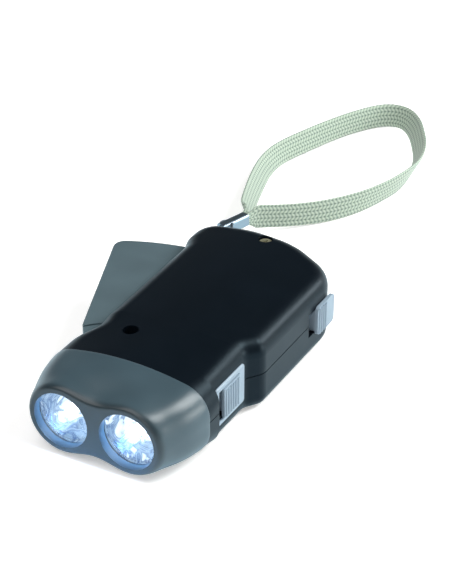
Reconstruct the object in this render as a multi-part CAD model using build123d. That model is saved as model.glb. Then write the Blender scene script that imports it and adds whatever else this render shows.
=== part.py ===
"""Palm torch with a squeeze-lever generator: body, lamp head, gear train, switches and wrist strap.

Millimetres. X across the body (sliders on +X, lever on -X), Y from the lamps to the tail, Z up.
The origin is on the flat that the torch rests on, half way along the body.
Stations, called d, are distances behind the front face of the lamp head.
"""
from build123d import *
from math import acos, asin, atan2, ceil, cos, degrees, hypot, pi, radians, sin, sqrt, tan
import os

os.makedirs("parts", exist_ok=True)

# ---------------------------------------------------------------- body
FRONT_Y = -53.5            # front face of the lamp head
BODY_H = 25.0              # bottom flat to the crown of the top
AXIS_Z = 12.2              # parting line, lamp centres and sliders
WALL = 1.8
SEAM_D = 19.6              # lamp head meets the housings
COLLAR_D = 25.2            # end of the wide collar behind the seam
WAIST_D = 43.0             # end of the waist, where the grip's constant section starts
COLLAR_X = 26.9            # right wall of the collar
WAIST_X = 25.0             # right wall beside the light switch
GRIP_X = 28.6              # right wall of the grip
LEVER_SIDE_X = 21.5        # left wall over the lever
SHOULDER_X = 24.5          # left wall behind the lever
NOTCH_D = 90.0             # where the lever's side swells into the shoulder
TAIL_D = 109.2
EDGE_R = 5.5               # rounding of the grip's top edge
FOOT_R = 4.0               # rounding of the bottom edge
CROWN_R = 226.0            # crown of the grip's top
SEAM_EDGE_R = 9.5          # rounder and more crowned at the lamp head
SEAM_FOOT_R = 9.0
SEAM_CROWN_R = 90.0
COLLAR_EDGE_R = 8.0        # at the end of the collar
COLLAR_FOOT_R = 7.0
PARTING_GAP = 0.3
PARTING_DEPTH = 0.5
FIT = 0.3                  # gap between pieces that don't touch
RUN = 0.05                 # radial clearance of a shaft that turns

# ---------------------------------------------------------------- lamp head
LAMP_PITCH = 22.0
LOBE_R = 11.1              # outside of the head round each lamp
BROW_H = 9.3               # half height of the head between the lamps
NOSE_R = 1.2               # rounding of the front rim
LAMPS_X = (-LAMP_PITCH / 2, LAMP_PITCH / 2)
OPENING_R = 9.0
LENS_D = 2.8               # depth of the recess in front of each lens
LENS_R = 9.6
LENS_T = 1.4
REFLECTOR_BACK_D = 13.5
REFLECTOR_NECK_R = 3.3
REFLECTOR_T = 0.8
LEG_R = 0.25
LEG_PITCH = 2.54
LEDGE_T = 1.4              # ledge in front of the lamp board
LED_R = 2.5
LED_TIP_D = 8.5
BOARD_D = 16.4             # front of the lamp board
BOARD_T = 1.6
TONGUE_L = 3.0             # lamp head's tongue inside the housings
TONGUE_T = 1.4

# ---------------------------------------------------------------- lever
PIVOT_X, PIVOT_D = -15.5, 29.5
SQUEEZE_DEG = 21.0
LEVER_TOP_Z = 18.6
LEVER_T = 1.6              # thickness of its plates and walls
LEVER_R = 67.1             # rear edge, round the pivot
LEVER_NOSE = (-28.5, 39.0) # its front outer corner at rest
LEVER_SPLAY = 21.1         # outer wall off the body's axis at rest, degrees
LEVER_INNER_DEG = 91.5     # inner edge of its plates at rest
LEVER_CORNER_R = 4.0
LEVER_NOSE_R = 1.0
LEVER_EDGE_R = 0.6
RELIEF_R = 14.7            # thinner hinge end of the plates
RELIEF_T = 0.5
HUB_R = 4.8
HUB_TUBE_R = 3.1
PIN_R = 1.5
SLOT_GAP = 0.4             # lever to the edges of its slot
SPRING_R = 4.0
SPRING_WIRE_R = 0.4
SPRING_TURNS = 5
SPRING_Z = (8.4, 16.0)
PIN_Z = (2.6, 22.2)
LIP_D = (60.0, 86.0)       # lip that stops the lever against the wall
LIP_T = 1.2
LIP_TOP_Z = 20.0
SECTOR_WEB = 6.9           # pitch line to the inner edge of the toothed sector

# ---------------------------------------------------------------- gear train
PRESSURE_DEG = 25.0
SECTOR_TEETH, PINION_TEETH, SECTOR_MODULE = 86, 10, 0.8
WHEEL_TEETH, SECOND_PINION_TEETH, WHEEL_MODULE = 36, 12, 0.6
SECOND_TEETH, ROTOR_TEETH, ROTOR_MODULE = 30, 10, 0.5
BACKLASH = 0.12
FIRST_DEG = 63.0           # from the lever's pivot to the first axle
SECOND_DEG = 15.0          # from the first axle to the second
ROTOR_DEG = 98.0           # from the second axle to the rotor
ADDENDUM, DEDENDUM = 0.9, 1.15
AXLE_R = 1.0
SECTOR_Z = (7.2, 10.0)
PINION_Z = (6.9, 10.4)
WHEEL_Z = (10.8, 12.6)
SECOND_PINION_Z0 = 10.5
SECOND_Z = (13.4, 15.0)
ROTOR_PINION_Z0 = 13.2
RATCHET_TEETH, RATCHET_R = 12, 4.9
CLUTCH_R = 7.6             # pocket in the first wheel
PAWLS = 3
BOSS_R = 2.4
PLATE_Z = (15.6, 16.4)
PLATE_OUTLINE = [(-2.5, 59.5), (16, 54), (24, 53.5), (26.4, 60), (26.4, 77.5), (23, 82), (15, 98.5),
                 (8.5, 98), (8.3, 90), (5.5, 80), (-1.5, 69)]
POSTS = [(21.5, 57.0), (25.0, 71.9), (11.5, 95.2)]
POST_R = 1.6
PLATE_SCREW_R = 0.75
PLATE_SCREW_L = 5.0

# ---------------------------------------------------------------- generator
ROTOR_R = 9.6
ROTOR_TOP_Z = 21.4
RIM_Z0 = 17.0
RIM_T = 1.3
MAGNET_T = 1.6
AIR_GAP = 0.5
STATOR_R = ROTOR_R - RIM_T - MAGNET_T - AIR_GAP
STATOR_TOP_Z = 20.0
STATOR_T = 0.8
STEM_R = 2.6
BEARING_R = 1.6
SHAFT_Z = (2.2, 21.7)

# ---------------------------------------------------------------- electrics
CELL_R = 5.8
CELL_L = 5.4
CELL_COUNT = 3
CELLS_X, CELLS_D = 5.0, 25.0
CELLS_Z = 8.4
HOLDER_T = 1.0
CONTACT_T = 0.5
CIRCUIT_Z = 16.0
CIRCUIT_T = 1.2
CIRCUIT = (-4.0, 21.0, 24.0, 48.0)      # x from, x to, d from, d to
BOARD_HANGERS = [(-1.5, 27.0), (18.5, 45.5)]
HANGER_R = 1.8
DIODE_R = 1.1
CAPACITOR = (5.0, 41.0)
CAPACITOR_R = 2.5
SWITCH_X = (14.2, 20.6)

# ---------------------------------------------------------------- sliders
KNOB_H = 10.0              # both knobs, centred on the parting line
SLOT_H = 8.2
LIGHT_TRAVEL = 2.2
LIGHT_KNOB = (29.8, 39.4)  # d from, d to, at rest
FRAME = (25.6, 43.0)
FRAME_H = 13.4
FRAME_T = 0.6
LIGHT_FACE_X = 26.1
LOCK_TRAVEL = 4.0
LOCK_KNOB = (83.2, 94.8)
LOCK_FACE_X = 29.9
LOCK_NECK = (83.8, 88.0)
RIB_R = 0.45
ARM_D = (90.5, 92.5)       # cross arm under the lever, unlocked
ARM_Z = (3.0, 5.2)
HOOK_D = (95.5, 98.5)
HOOK_W = 2.6
HOOK_TOP_Z = 7.4
LOCKED_TIP_D = HOOK_D[0] - LOCK_TRAVEL

# ---------------------------------------------------------------- screws
HOUSING_SCREWS = [(-8.3, 34.5, 16.0), (1.0, 103.0, 22.4)]   # x, d, height of the head's seat
SCREW_HEAD_R = 2.1
SCREW_HEAD_T = 1.4
SCREW_R = 1.1
RECESS_R = 2.5
SCREW_BOSS_R = 3.5
SCREW_TIP_Z = 4.5

# ---------------------------------------------------------------- strap
STRAP_W = 9.0
STRAP_T = 1.3
STRAP_Z, CRIMP_Z = 4.5, 7.5   # height of its mid-line round the loop and in the crimp
ANCHOR_X, ANCHOR_D = -14.0, 103.5
ANCHOR_R = 1.3
ANCHOR_Z = (4.5, 18.0)
LINK_WIRE_R = 0.6
LINK_Z = 9.0
CRIMP_END = (-26.5, 140.5)  # where the strap leaves the crimp
CRIMP_DEG = 73.0           # direction of the crimp
CRIMP_L = 12.0
CRIMP_T = 3.8
CRIMP_H = 4.6
STRAP_PINCH = 4.0          # height of the strap's ends, gathered in the crimp
PINCH_RUN = 9.0            # over which it opens to its full width
STRAP_IN = 6.0             # length of each strap end inside the crimp
STRAP_PATH = [(-22.0, 147.5), (-15.2, 154.5), (-7.3, 163.5), (0.0, 174.0), (5.2, 186.0), (9.2, 200.0),
              (9.5, 212.0), (6.5, 225.0), (1.0, 236.0), (-6.0, 246.0), (-14.0, 252.0), (-22.0, 250.5),
              (-29.0, 240.0), (-34.5, 227.0), (-39.0, 213.0), (-43.0, 199.0), (-42.8, 187.0),
              (-39.5, 174.0), (-35.0, 160.0), (-30.0, 147.0)]

BIG = 200.0
JOIN_TOL = 0.002           # for joining forms that meet on the same curve


# ================================================================ helpers
def y_at(d):
    """Row Y of a station."""
    return FRONT_Y + d


def rod(x, d, r, z0, z1):
    """Upright cylinder."""
    return Pos(x, y_at(d), z0) * Cylinder(r, z1 - z0, align=(Align.CENTER, Align.CENTER, Align.MIN))


def tube(x, d, r_out, r_in, z0, z1):
    """Upright tube."""
    return rod(x, d, r_out, z0, z1) - rod(x, d, r_in, z0, z1)


def block(x0, x1, d0, d1, z0, z1):
    """Box between two corners."""
    return Pos((x0 + x1) / 2, y_at((d0 + d1) / 2), (z0 + z1) / 2) * Box(x1 - x0, d1 - d0, z1 - z0)


def along_y(x, z, r, d0, d1):
    """Cylinder along the body."""
    turned = Rot(-90, 0, 0) * Cylinder(r, d1 - d0, align=(Align.CENTER, Align.CENTER, Align.MIN))
    return Pos(x, y_at(d0), z) * turned


def plan_face(points, radii=0):
    """Face in the Z=0 plane from (x, d) corners, each with its own rounding or one for all."""
    corners = [(x, y_at(d), 0) for x, d in points]
    return make_face(FilletPolyline(*corners, radius=radii, close=True))


def slab(face, z0, z1):
    """Upright extrusion of a face in the Z=0 plane."""
    return Pos(0, 0, z0) * extrude(face, z1 - z0, dir=(0, 0, 1))


def polar(x, d, r, angle_deg):
    """Point (x, d) at a distance and direction from another."""
    return x + r * cos(radians(angle_deg)), d + r * sin(radians(angle_deg))


def turned_about_pivot(shape, angle_deg):
    """Shape turned about the lever's pivot."""
    pivot = Pos(PIVOT_X, y_at(PIVOT_D), 0)
    return pivot * Rot(0, 0, angle_deg) * pivot.inverse() * shape


FIRST_AXLE = polar(PIVOT_X, PIVOT_D, (SECTOR_TEETH + PINION_TEETH) * SECTOR_MODULE / 2, FIRST_DEG)
SECOND_AXLE = polar(*FIRST_AXLE, (WHEEL_TEETH + SECOND_PINION_TEETH) * WHEEL_MODULE / 2, SECOND_DEG)
ROTOR_AXLE = polar(*SECOND_AXLE, (SECOND_TEETH + ROTOR_TEETH) * ROTOR_MODULE / 2, ROTOR_DEG)


# ================================================================ outer form of the housings
def corner(wall, edge_r, crown_r, inset):
    """One top corner of a section: wall tangent, arc middle, crown tangent, for a wall at +wall."""
    r, big_r = edge_r - inset, crown_r - inset
    low = BODY_H - crown_r
    cx = wall - edge_r
    cz = low + sqrt((big_r - r) ** 2 - cx ** 2)
    lean = atan2(cz - low, cx)
    on_crown = (big_r * cos(lean), low + big_r * sin(lean))
    middle = (cx + r * cos(lean / 2), cz + r * sin(lean / 2))
    return (wall - inset, cz), middle, on_crown


def section_corners(right, left, crown_r, inset):
    """Key points of a section, as (x, z); each side is (wall, edge radius, foot radius)."""
    wall_r, mid_r, crown_pt_r = corner(right[0], right[1], crown_r, inset)
    wall_l, mid_l, crown_pt_l = corner(left[0], left[1], crown_r, inset)
    foot_r, foot_l = right[2] - inset, left[2] - inset
    xr, xl = right[0] - inset, inset - left[0]
    bend_r, bend_l = foot_r * (1 - cos(pi / 4)), foot_l * (1 - cos(pi / 4))
    return [
        ("line", (xr, right[2]), wall_r),
        ("arc", wall_r, mid_r, crown_pt_r),
        ("arc", crown_pt_r, (0, BODY_H - inset), (-crown_pt_l[0], crown_pt_l[1])),
        ("arc", (-crown_pt_l[0], crown_pt_l[1]), (-mid_l[0], mid_l[1]), (xl, wall_l[1])),
        ("line", (xl, wall_l[1]), (xl, left[2])),
        ("arc", (xl, left[2]), (xl + bend_l, inset + bend_l), (xl + foot_l, inset)),
        ("line", (xl + foot_l, inset), (xr - foot_r, inset)),
        ("arc", (xr - foot_r, inset), (xr - bend_r, inset + bend_r), (xr, right[2])),
    ]


def section(d, right, left, crown_r, inset):
    """Upright cross section of the housings at one station, as a face."""
    y = y_at(d)
    edges = []
    for kind, *points in section_corners(right, left, crown_r, inset):
        placed = [(x, y, z) for x, z in points]
        edges.append(Line(*placed) if kind == "line" else ThreePointArc(*placed))
    return make_face(edges)


def grip_outline():
    """Plan outline of the grip behind the waist; it runs ahead of the waist's end, to be trimmed."""
    lead = WAIST_D - 12
    return [
        ((WAIST_X, lead), 0),
        ((WAIST_X, WAIST_D + 1.4), 4),
        ((GRIP_X, WAIST_D + 6.4), 5),
        ((GRIP_X, TAIL_D - 11.5), 14),
        ((10.5, TAIL_D - 1.5), 30),
        ((-6.0, TAIL_D + 0.3), 40),
        ((-SHOULDER_X, TAIL_D - 1.7), 9),
        ((-SHOULDER_X, NOTCH_D + 5.5), 5),
        ((-LEVER_SIDE_X - 1.0, NOTCH_D), 5),
        ((-LEVER_SIDE_X, WAIST_D + 6), 60),
        ((-LEVER_SIDE_X, lead), 0),
    ]


def grip_block(inset):
    """Grip behind the waist, outer form or cavity."""
    corners, radii = zip(*grip_outline())
    outline = plan_face(corners, radii)
    if inset:
        outline = offset(outline, -inset)
    body = slab(outline, inset, BODY_H + 1)
    half, skirt = 60.0, 40.0
    crown = make_face([
        Line((-half, 0, -skirt), (half, 0, -skirt)),
        Line((half, 0, -skirt), (half, 0, BODY_H - CROWN_R + sqrt((CROWN_R - inset) ** 2 - half ** 2))),
        ThreePointArc((half, 0, BODY_H - CROWN_R + sqrt((CROWN_R - inset) ** 2 - half ** 2)),
                      (0, 0, BODY_H - inset),
                      (-half, 0, BODY_H - CROWN_R + sqrt((CROWN_R - inset) ** 2 - half ** 2))),
        Line((-half, 0, BODY_H - CROWN_R + sqrt((CROWN_R - inset) ** 2 - half ** 2)), (-half, 0, -skirt)),
    ])
    body &= Pos(0, BIG, 0) * extrude(crown, 2 * BIG, dir=(0, -1, 0))
    lead_y = y_at(WAIST_D - 12) + inset
    top = [e for e in body.edges() if e.center().Z > AXIS_Z + 5 and e.center().Y > lead_y + 0.5]
    body = fillet(top, EDGE_R - inset)
    bottom = [e for e in body.edges() if e.center().Z < inset + 0.1 and e.center().Y > lead_y + 0.5]
    body = fillet(bottom, FOOT_R - inset)
    return body & block(-BIG, BIG, WAIST_D, TAIL_D + BIG, -BIG, BIG)


def blend(a, b, t):
    """Smooth step from a to b."""
    return a + (b - a) * (3 - 2 * t) * t * t


def waist_left(d):
    """Left wall between the collar and the lever."""
    t = min(max((d - COLLAR_D) / 12.0, 0.0), 1.0)
    return blend(COLLAR_X - 1.0, LEVER_SIDE_X, t)


def crown_at(d):
    """Crown radius of the top, flatter towards the grip."""
    t = (d - SEAM_D) / (WAIST_D - SEAM_D)
    return 1 / (1 / SEAM_CROWN_R + (1 / CROWN_R - 1 / SEAM_CROWN_R) * t)


def collar_sides(d):
    """Right and left side of the collar's section at one station."""
    t = (d - SEAM_D) / (COLLAR_D - SEAM_D)
    edge_r = SEAM_EDGE_R + (COLLAR_EDGE_R - SEAM_EDGE_R) * t
    foot_r = SEAM_FOOT_R + (COLLAR_FOOT_R - SEAM_FOOT_R) * t
    return (COLLAR_X, edge_r, foot_r), (blend(COLLAR_X, COLLAR_X - 1.0, t), edge_r, foot_r)


def waist_sides(d):
    """Right and left side of the waist's section at one station."""
    t = max((d - COLLAR_D) / (WAIST_D - COLLAR_D), 0.0)
    edge_r = COLLAR_EDGE_R + (EDGE_R - COLLAR_EDGE_R) * t
    foot_r = COLLAR_FOOT_R + (FOOT_R - COLLAR_FOOT_R) * t
    return (WAIST_X, EDGE_R, FOOT_R), (waist_left(d), edge_r, foot_r)


def body_form(inset):
    """Outer form of both housings together, or their cavity."""
    step = COLLAR_D - inset
    collar_d = [SEAM_D, (SEAM_D + step) / 2, step]
    collar = loft([section(d, *collar_sides(d), crown_at(d), inset) for d in collar_d])
    count = 5
    waist_d = [step + (WAIST_D - step) * i / count for i in range(count + 1)]
    waist = loft([section(d, *waist_sides(d), crown_at(d), inset) for d in waist_d])
    return collar.fuse(waist, tol=JOIN_TOL).fuse(grip_block(inset), tol=JOIN_TOL)


# ================================================================ lamp head
def arc_points(a, b, c, count=24):
    """Points from a to c on the circle through a, b and c."""
    (ax, ay), (bx, by), (cx, cy) = a, b, c
    d = 2 * (ax * (by - cy) + bx * (cy - ay) + cx * (ay - by))
    aa, bb, cc = ax ** 2 + ay ** 2, bx ** 2 + by ** 2, cx ** 2 + cy ** 2
    ux = (aa * (by - cy) + bb * (cy - ay) + cc * (ay - by)) / d
    uy = (aa * (cx - bx) + bb * (ax - cx) + cc * (bx - ax)) / d
    start, end = atan2(ay - uy, ax - ux), atan2(cy - uy, cx - ux)
    sweep_angle = (end - start + pi) % (2 * pi) - pi
    r = hypot(ax - ux, ay - uy)
    return [(ux + r * cos(start + sweep_angle * i / count), uy + r * sin(start + sweep_angle * i / count))
            for i in range(count + 1)]


def seam_outline(inset):
    """Section of the housings at the seam as (angle, radius) pairs about the head's centre line."""
    outline = []
    for kind, *points in section_corners(*collar_sides(SEAM_D), crown_at(SEAM_D), inset):
        if kind == "line":
            (ax, az), (bx, bz) = points
            points = [(ax + (bx - ax) * i / 24, az + (bz - az) * i / 24) for i in range(25)]
        else:
            points = arc_points(*points)
        outline += [(atan2(z - AXIS_Z, x) % (2 * pi), hypot(x, z - AXIS_Z)) for x, z in points]
    return sorted(outline)


SEAM_OUTLINES = {}


def seam_radius(angle, inset=0.0):
    """Distance from the head's centre line to the section at the seam, in one direction."""
    key = round(inset, 4)
    if key not in SEAM_OUTLINES:
        SEAM_OUTLINES[key] = seam_outline(inset)
    outline = SEAM_OUTLINES[key]
    angle %= 2 * pi
    before = max((p for p in outline if p[0] <= angle), default=(outline[-1][0] - 2 * pi, outline[-1][1]))
    after = min((p for p in outline if p[0] > angle), default=(outline[0][0] + 2 * pi, outline[0][1]))
    share = (angle - before[0]) / max(after[0] - before[0], 1e-9)
    x = before[1] * cos(before[0]) * (1 - share) + after[1] * cos(after[0]) * share
    z = before[1] * sin(before[0]) * (1 - share) + after[1] * sin(after[0]) * share
    return hypot(x, z)


def brow(x, inset):
    """Half height of the two-lobed front between the lamp centres."""
    lobe = LOBE_R - inset
    return BROW_H - inset + (lobe - (BROW_H - inset)) * (1 - cos(pi * x / (LAMP_PITCH / 2))) / 2


def front_radius(angle, inset=0.0):
    """Distance from the head's centre line to the two-lobed front, in one direction."""
    c, s = abs(cos(angle)), abs(sin(angle))
    half, lobe = LAMP_PITCH / 2, LOBE_R - inset
    reach = half * c + sqrt(max(lobe ** 2 - (half * s) ** 2, 0))
    if reach * c >= half:
        return reach
    low, high = 0.0, half / max(c, 1e-6)
    high = min(high, 2 * LOBE_R)
    for _ in range(50):
        middle = (low + high) / 2
        if middle * s > brow(middle * c, inset):
            high = middle
        else:
            low = middle
    return (low + high) / 2


def head_section(d, swell, inset=0.0, shrink=0.0):
    """Closed smooth section of the lamp head; swell runs from 0 at the front to 1 at the seam."""
    points = []
    count = 56
    for i in range(count):
        t = 2 * pi * i / count
        angle = atan2(0.62 * sin(t), cos(t))
        front = front_radius(angle, inset + shrink)
        seam = seam_radius(angle, inset)
        r = front + (seam - front) * swell
        points.append((r * cos(angle), y_at(d), AXIS_Z + r * sin(angle)))
    return make_face(Spline(*points, periodic=True))


def head_form(inset, front_d, rounding):
    """Solid through the head's sections, outer form or cavity; rounding lists (depth, shrink) pairs."""
    faces = []
    for depth, shrink in rounding:
        faces.append(head_section(front_d + depth, swell_at(front_d + depth), inset, shrink))
    first = front_d + rounding[-1][0]
    count = 5
    for i in range(1, count + 1):
        d = first + (SEAM_D - first) * i / count
        faces.append(head_section(d, swell_at(d), inset))
    return loft(faces)


def swell_at(d):
    """Share of the way from the front's outline to the seam's, by station."""
    t = min(max(d / SEAM_D, 0.0), 1.0)
    return sin(t * pi / 2) ** 1.15


def make_lamp_head():
    """Two-lobed front with a recess and a seat for each lens, and a ledge for the lamp board."""
    outer = head_form(0.0, 0.0, [(0.0, NOSE_R), (NOSE_R * 0.3, NOSE_R * 0.3), (NOSE_R, 0.0)])
    cavity_d = LENS_D + LENS_T + 0.2
    ledge_d = BOARD_D - LEDGE_T
    head = outer - head_form(WALL, cavity_d, [(0.0, 0.0)])
    ledge = extrude(head_section(ledge_d, swell_at(ledge_d), WALL - 0.6), LEDGE_T, dir=(0, 1, 0))
    head += ledge - extrude(head_section(ledge_d, swell_at(ledge_d), WALL + 1.4), LEDGE_T, dir=(0, 1, 0))
    for x in LAMPS_X:
        head -= along_y(x, AXIS_Z, OPENING_R, -1, cavity_d + 1)
        head -= along_y(x, AXIS_Z, LENS_R + 0.1, LENS_D, cavity_d + 1)
    return head


def make_carrier():
    """Ring behind the lamp board whose tongue holds the lamp head in the housings."""
    outer, inner = WALL + 0.25, WALL + 0.25 + TONGUE_T
    front_d, back_d = BOARD_D + BOARD_T, SEAM_D + TONGUE_L

    def sleeve(inset):
        front = section(front_d, *collar_sides(SEAM_D), crown_at(SEAM_D), inset)
        return loft([front, section(back_d, *collar_sides(back_d), crown_at(back_d), inset)])

    return sleeve(outer) - sleeve(inner)


def make_lens(x):
    """Clear disc with a rim, behind the head's recess."""
    lens = along_y(x, AXIS_Z, LENS_R, LENS_D, LENS_D + LENS_T)
    return lens - along_y(x, AXIS_Z, LENS_R - 1.2, LENS_D + LENS_T - 0.4, LENS_D + LENS_T)


def make_reflector(x):
    """Deep cup: a parabola turned about the lamp's axis, open at its neck for the diode."""
    rim_d = LENS_D + LENS_T
    length = REFLECTOR_BACK_D - rim_d
    rim_r = LENS_R - 0.3

    def wall(share):
        return REFLECTOR_NECK_R + (rim_r - REFLECTOR_T - REFLECTOR_NECK_R) * sqrt(share)

    shares = [0.0, 0.15, 0.4, 0.7, 1.0]
    inside = [(wall(s), REFLECTOR_BACK_D - length * s) for s in shares]
    outside = [(r + REFLECTOR_T, d) for r, d in reversed(inside)]

    def v(r, d):
        return (x + r, y_at(d), AXIS_Z)

    profile = make_face([
        Spline(*[v(*p) for p in inside]),
        Line(v(*inside[-1]), v(*outside[0])),
        Spline(*[v(*p) for p in outside]),
        Line(v(*outside[-1]), v(*inside[0])),
    ])
    cup = revolve(profile, Axis((x, 0, AXIS_Z), (0, 1, 0)), 360)
    neck = along_y(x, AXIS_Z, REFLECTOR_NECK_R + REFLECTOR_T, REFLECTOR_BACK_D - 0.4, BOARD_D)
    return cup + neck - along_y(x, AXIS_Z, REFLECTOR_NECK_R, REFLECTOR_BACK_D - 1.5, BOARD_D)


def make_led(x):
    """Round-nosed diode with its flange and two legs into the lamp board."""
    body = along_y(x, AXIS_Z, LED_R, LED_TIP_D + LED_R, BOARD_D)
    nose = Pos(x, y_at(LED_TIP_D + LED_R), AXIS_Z) * Sphere(LED_R)
    flange = along_y(x, AXIS_Z, LED_R + 0.4, BOARD_D - 1.0, BOARD_D)
    led = body + nose + flange
    for s in (-1, 1):
        led += along_y(x + s * LEG_PITCH / 2, AXIS_Z, LEG_R, BOARD_D - 0.5, BOARD_D + BOARD_T + 1)
    return led


def make_led_board():
    """Board across the head behind both reflectors, with holes for the diodes' legs."""
    outline = head_section(BOARD_D, swell_at(BOARD_D), WALL + FIT)
    board = extrude(outline, BOARD_T, dir=(0, 1, 0))
    for x in LAMPS_X:
        for s in (-1, 1):
            board -= along_y(x + s * LEG_PITCH / 2, AXIS_Z, LEG_R + RUN, BOARD_D - 1, BOARD_D + BOARD_T + 1)
    return board


# ================================================================ housings
def lever_slot():
    """Room for the lever's plates in the left wall, from its front edge at rest to its rear edge."""
    toe, nose = lever_front_edge()
    run = hypot(nose[0] - toe[0], nose[1] - toe[1])
    ux, ud = (nose[0] - toe[0]) / run, (nose[1] - toe[1]) / run
    ahead = SLOT_GAP * 1.5
    near = (toe[0] - ud * ahead - ux * 4, toe[1] + ux * ahead - ud * 4)
    far = (nose[0] - ud * ahead + ux * 30, nose[1] + ux * ahead + ud * 30)
    back = PIVOT_D + LEVER_R + 20
    outline = plan_face([near, far, (far[0], back), (PIVOT_X + 3, back), (PIVOT_X + 3, near[1])])
    outline &= Pos(PIVOT_X, y_at(PIVOT_D), 0) * Circle(LEVER_R + SLOT_GAP)
    return slab(outline, lever_bottom() - SLOT_GAP, LEVER_TOP_Z + SLOT_GAP)


def lever_front_edge():
    """Ends of the lever's front edge at rest, from its hub to its nose."""
    return polar(PIVOT_X, PIVOT_D, HUB_R, 235), LEVER_NOSE


def lever_bottom():
    """Underside of the lever; it is centred on the parting line."""
    return 2 * AXIS_Z - LEVER_TOP_Z


def slider_slots():
    """Both slots through the right wall."""
    half = SLOT_H / 2
    light = block(WAIST_X - WALL - 1, WAIST_X + 5, LIGHT_KNOB[0] - LIGHT_TRAVEL - 0.2, LIGHT_KNOB[1] + 0.2,
                  AXIS_Z - half, AXIS_Z + half)
    lock = block(GRIP_X - WALL - 3, GRIP_X + 5, LOCK_NECK[0] - LOCK_TRAVEL - 0.3, LOCK_NECK[1] + 0.3,
                 AXIS_Z - half, AXIS_Z + half)
    return light + lock


def parting_groove():
    """Fine groove round the outside where the two housings meet."""
    low, high = AXIS_Z - PARTING_GAP / 2, AXIS_Z + PARTING_GAP / 2
    band = block(-BIG, BIG, SEAM_D - 1, TAIL_D + BIG, low, high)
    return band - body_form(PARTING_DEPTH)


def strap_slot():
    """Slot through the tail for the strap's link."""
    half_w = ANCHOR_R + 2 * LINK_WIRE_R + 0.5
    half_h = LINK_WIRE_R + 0.4
    slot = block(-half_w, half_w, ANCHOR_D, TAIL_D + 8, LINK_Z - half_h, LINK_Z + half_h)
    centre = Pos(ANCHOR_X, y_at(ANCHOR_D), 0)
    return centre * Rot(0, 0, link_turn()) * Pos(0, -y_at(ANCHOR_D), 0) * slot


def make_housings():
    """Upper and lower housing: thin shells with the bosses that hold the rest."""
    form, cavity, parting = body_form(0.0), body_form(WALL), body_form(PARTING_DEPTH)
    low, high = AXIS_Z - PARTING_GAP / 2, AXIS_Z + PARTING_GAP / 2
    groove = block(-BIG, BIG, SEAM_D - 1, TAIL_D + BIG, low, high) - parting
    shell = form - cavity - lever_slot() - slider_slots() - groove - strap_slot()
    upper = shell & block(-BIG, BIG, -BIG, BIG, AXIS_Z, BIG)
    lower = shell & block(-BIG, BIG, -BIG, BIG, -BIG, AXIS_Z)
    room = body_form(WALL / 2)

    def hang(x, d, r, z0):
        return rod(x, d, r, z0, BODY_H) & room

    def stand(x, d, r, z1):
        return rod(x, d, r, 0, z1) & room

    # lever pin, between a boss in each housing
    upper += hang(PIVOT_X, PIVOT_D, HUB_R, LEVER_TOP_Z - RELIEF_T + FIT)
    lower += stand(PIVOT_X, PIVOT_D, HUB_R, lever_bottom() + RELIEF_T - FIT)
    upper -= rod(PIVOT_X, PIVOT_D, PIN_R, AXIS_Z, PIN_Z[1])
    lower -= rod(PIVOT_X, PIVOT_D, PIN_R, PIN_Z[0], AXIS_Z)

    # screws through the top into the lower housing
    for x, d, seat in HOUSING_SCREWS:
        upper += hang(x, d, SCREW_BOSS_R, AXIS_Z)
        lower += stand(x, d, SCREW_BOSS_R, AXIS_Z)
        upper -= rod(x, d, RECESS_R, seat, BODY_H + 1)
        upper -= rod(x, d, SCREW_R + 0.2, AXIS_Z - 1, seat + 1)
        lower -= rod(x, d, SCREW_R, SCREW_TIP_Z, AXIS_Z + 1)

    # axle bosses and the gear plate's posts on the floor
    for (x, d), top in ((FIRST_AXLE, PINION_Z[0] - 0.2), (SECOND_AXLE, SECOND_PINION_Z0 - 0.2)):
        lower += stand(x, d, BOSS_R, top)
        lower -= rod(x, d, AXLE_R, WALL, top + 1)
    x, d = ROTOR_AXLE
    lower += stand(x, d, BOSS_R, ROTOR_PINION_Z0 - 0.3)
    lower -= rod(x, d, AXLE_R + RUN, WALL, ROTOR_PINION_Z0)
    for x, d in POSTS:
        lower += stand(x, d, POST_R, PLATE_Z[0])
        lower -= rod(x, d, PLATE_SCREW_R, PLATE_Z[0] - PLATE_SCREW_L, PLATE_Z[0] + 1)

    # hangers that hold the circuit board from above
    for x, d in BOARD_HANGERS:
        upper += hang(x, d, HANGER_R, CIRCUIT_Z + CIRCUIT_T)

    # bosses that hold the strap's anchor pin
    gap = LINK_WIRE_R + 0.4
    upper += hang(ANCHOR_X, ANCHOR_D, ANCHOR_R + 1.6, LINK_Z + gap)
    lower += stand(ANCHOR_X, ANCHOR_D, ANCHOR_R + 1.6, LINK_Z - gap)
    upper -= rod(ANCHOR_X, ANCHOR_D, ANCHOR_R, LINK_Z, ANCHOR_Z[1])
    lower -= rod(ANCHOR_X, ANCHOR_D, ANCHOR_R, ANCHOR_Z[0], AXIS_Z)
    return upper, lower


def make_housing_screw(x, d, seat):
    """Cross-head screw."""
    top = seat + SCREW_HEAD_T
    screw = rod(x, d, SCREW_HEAD_R, seat, top) + rod(x, d, SCREW_R, SCREW_TIP_Z, seat)
    half_l, half_w = SCREW_HEAD_R * 0.6, 0.28
    screw -= block(x - half_l, x + half_l, d - half_w, d + half_w, top - 0.6, top + 1)
    return screw - block(x - half_w, x + half_w, d - half_l, d + half_l, top - 0.6, top + 1)


# ================================================================ gears
def involute(angle):
    return tan(angle) - angle


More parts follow.
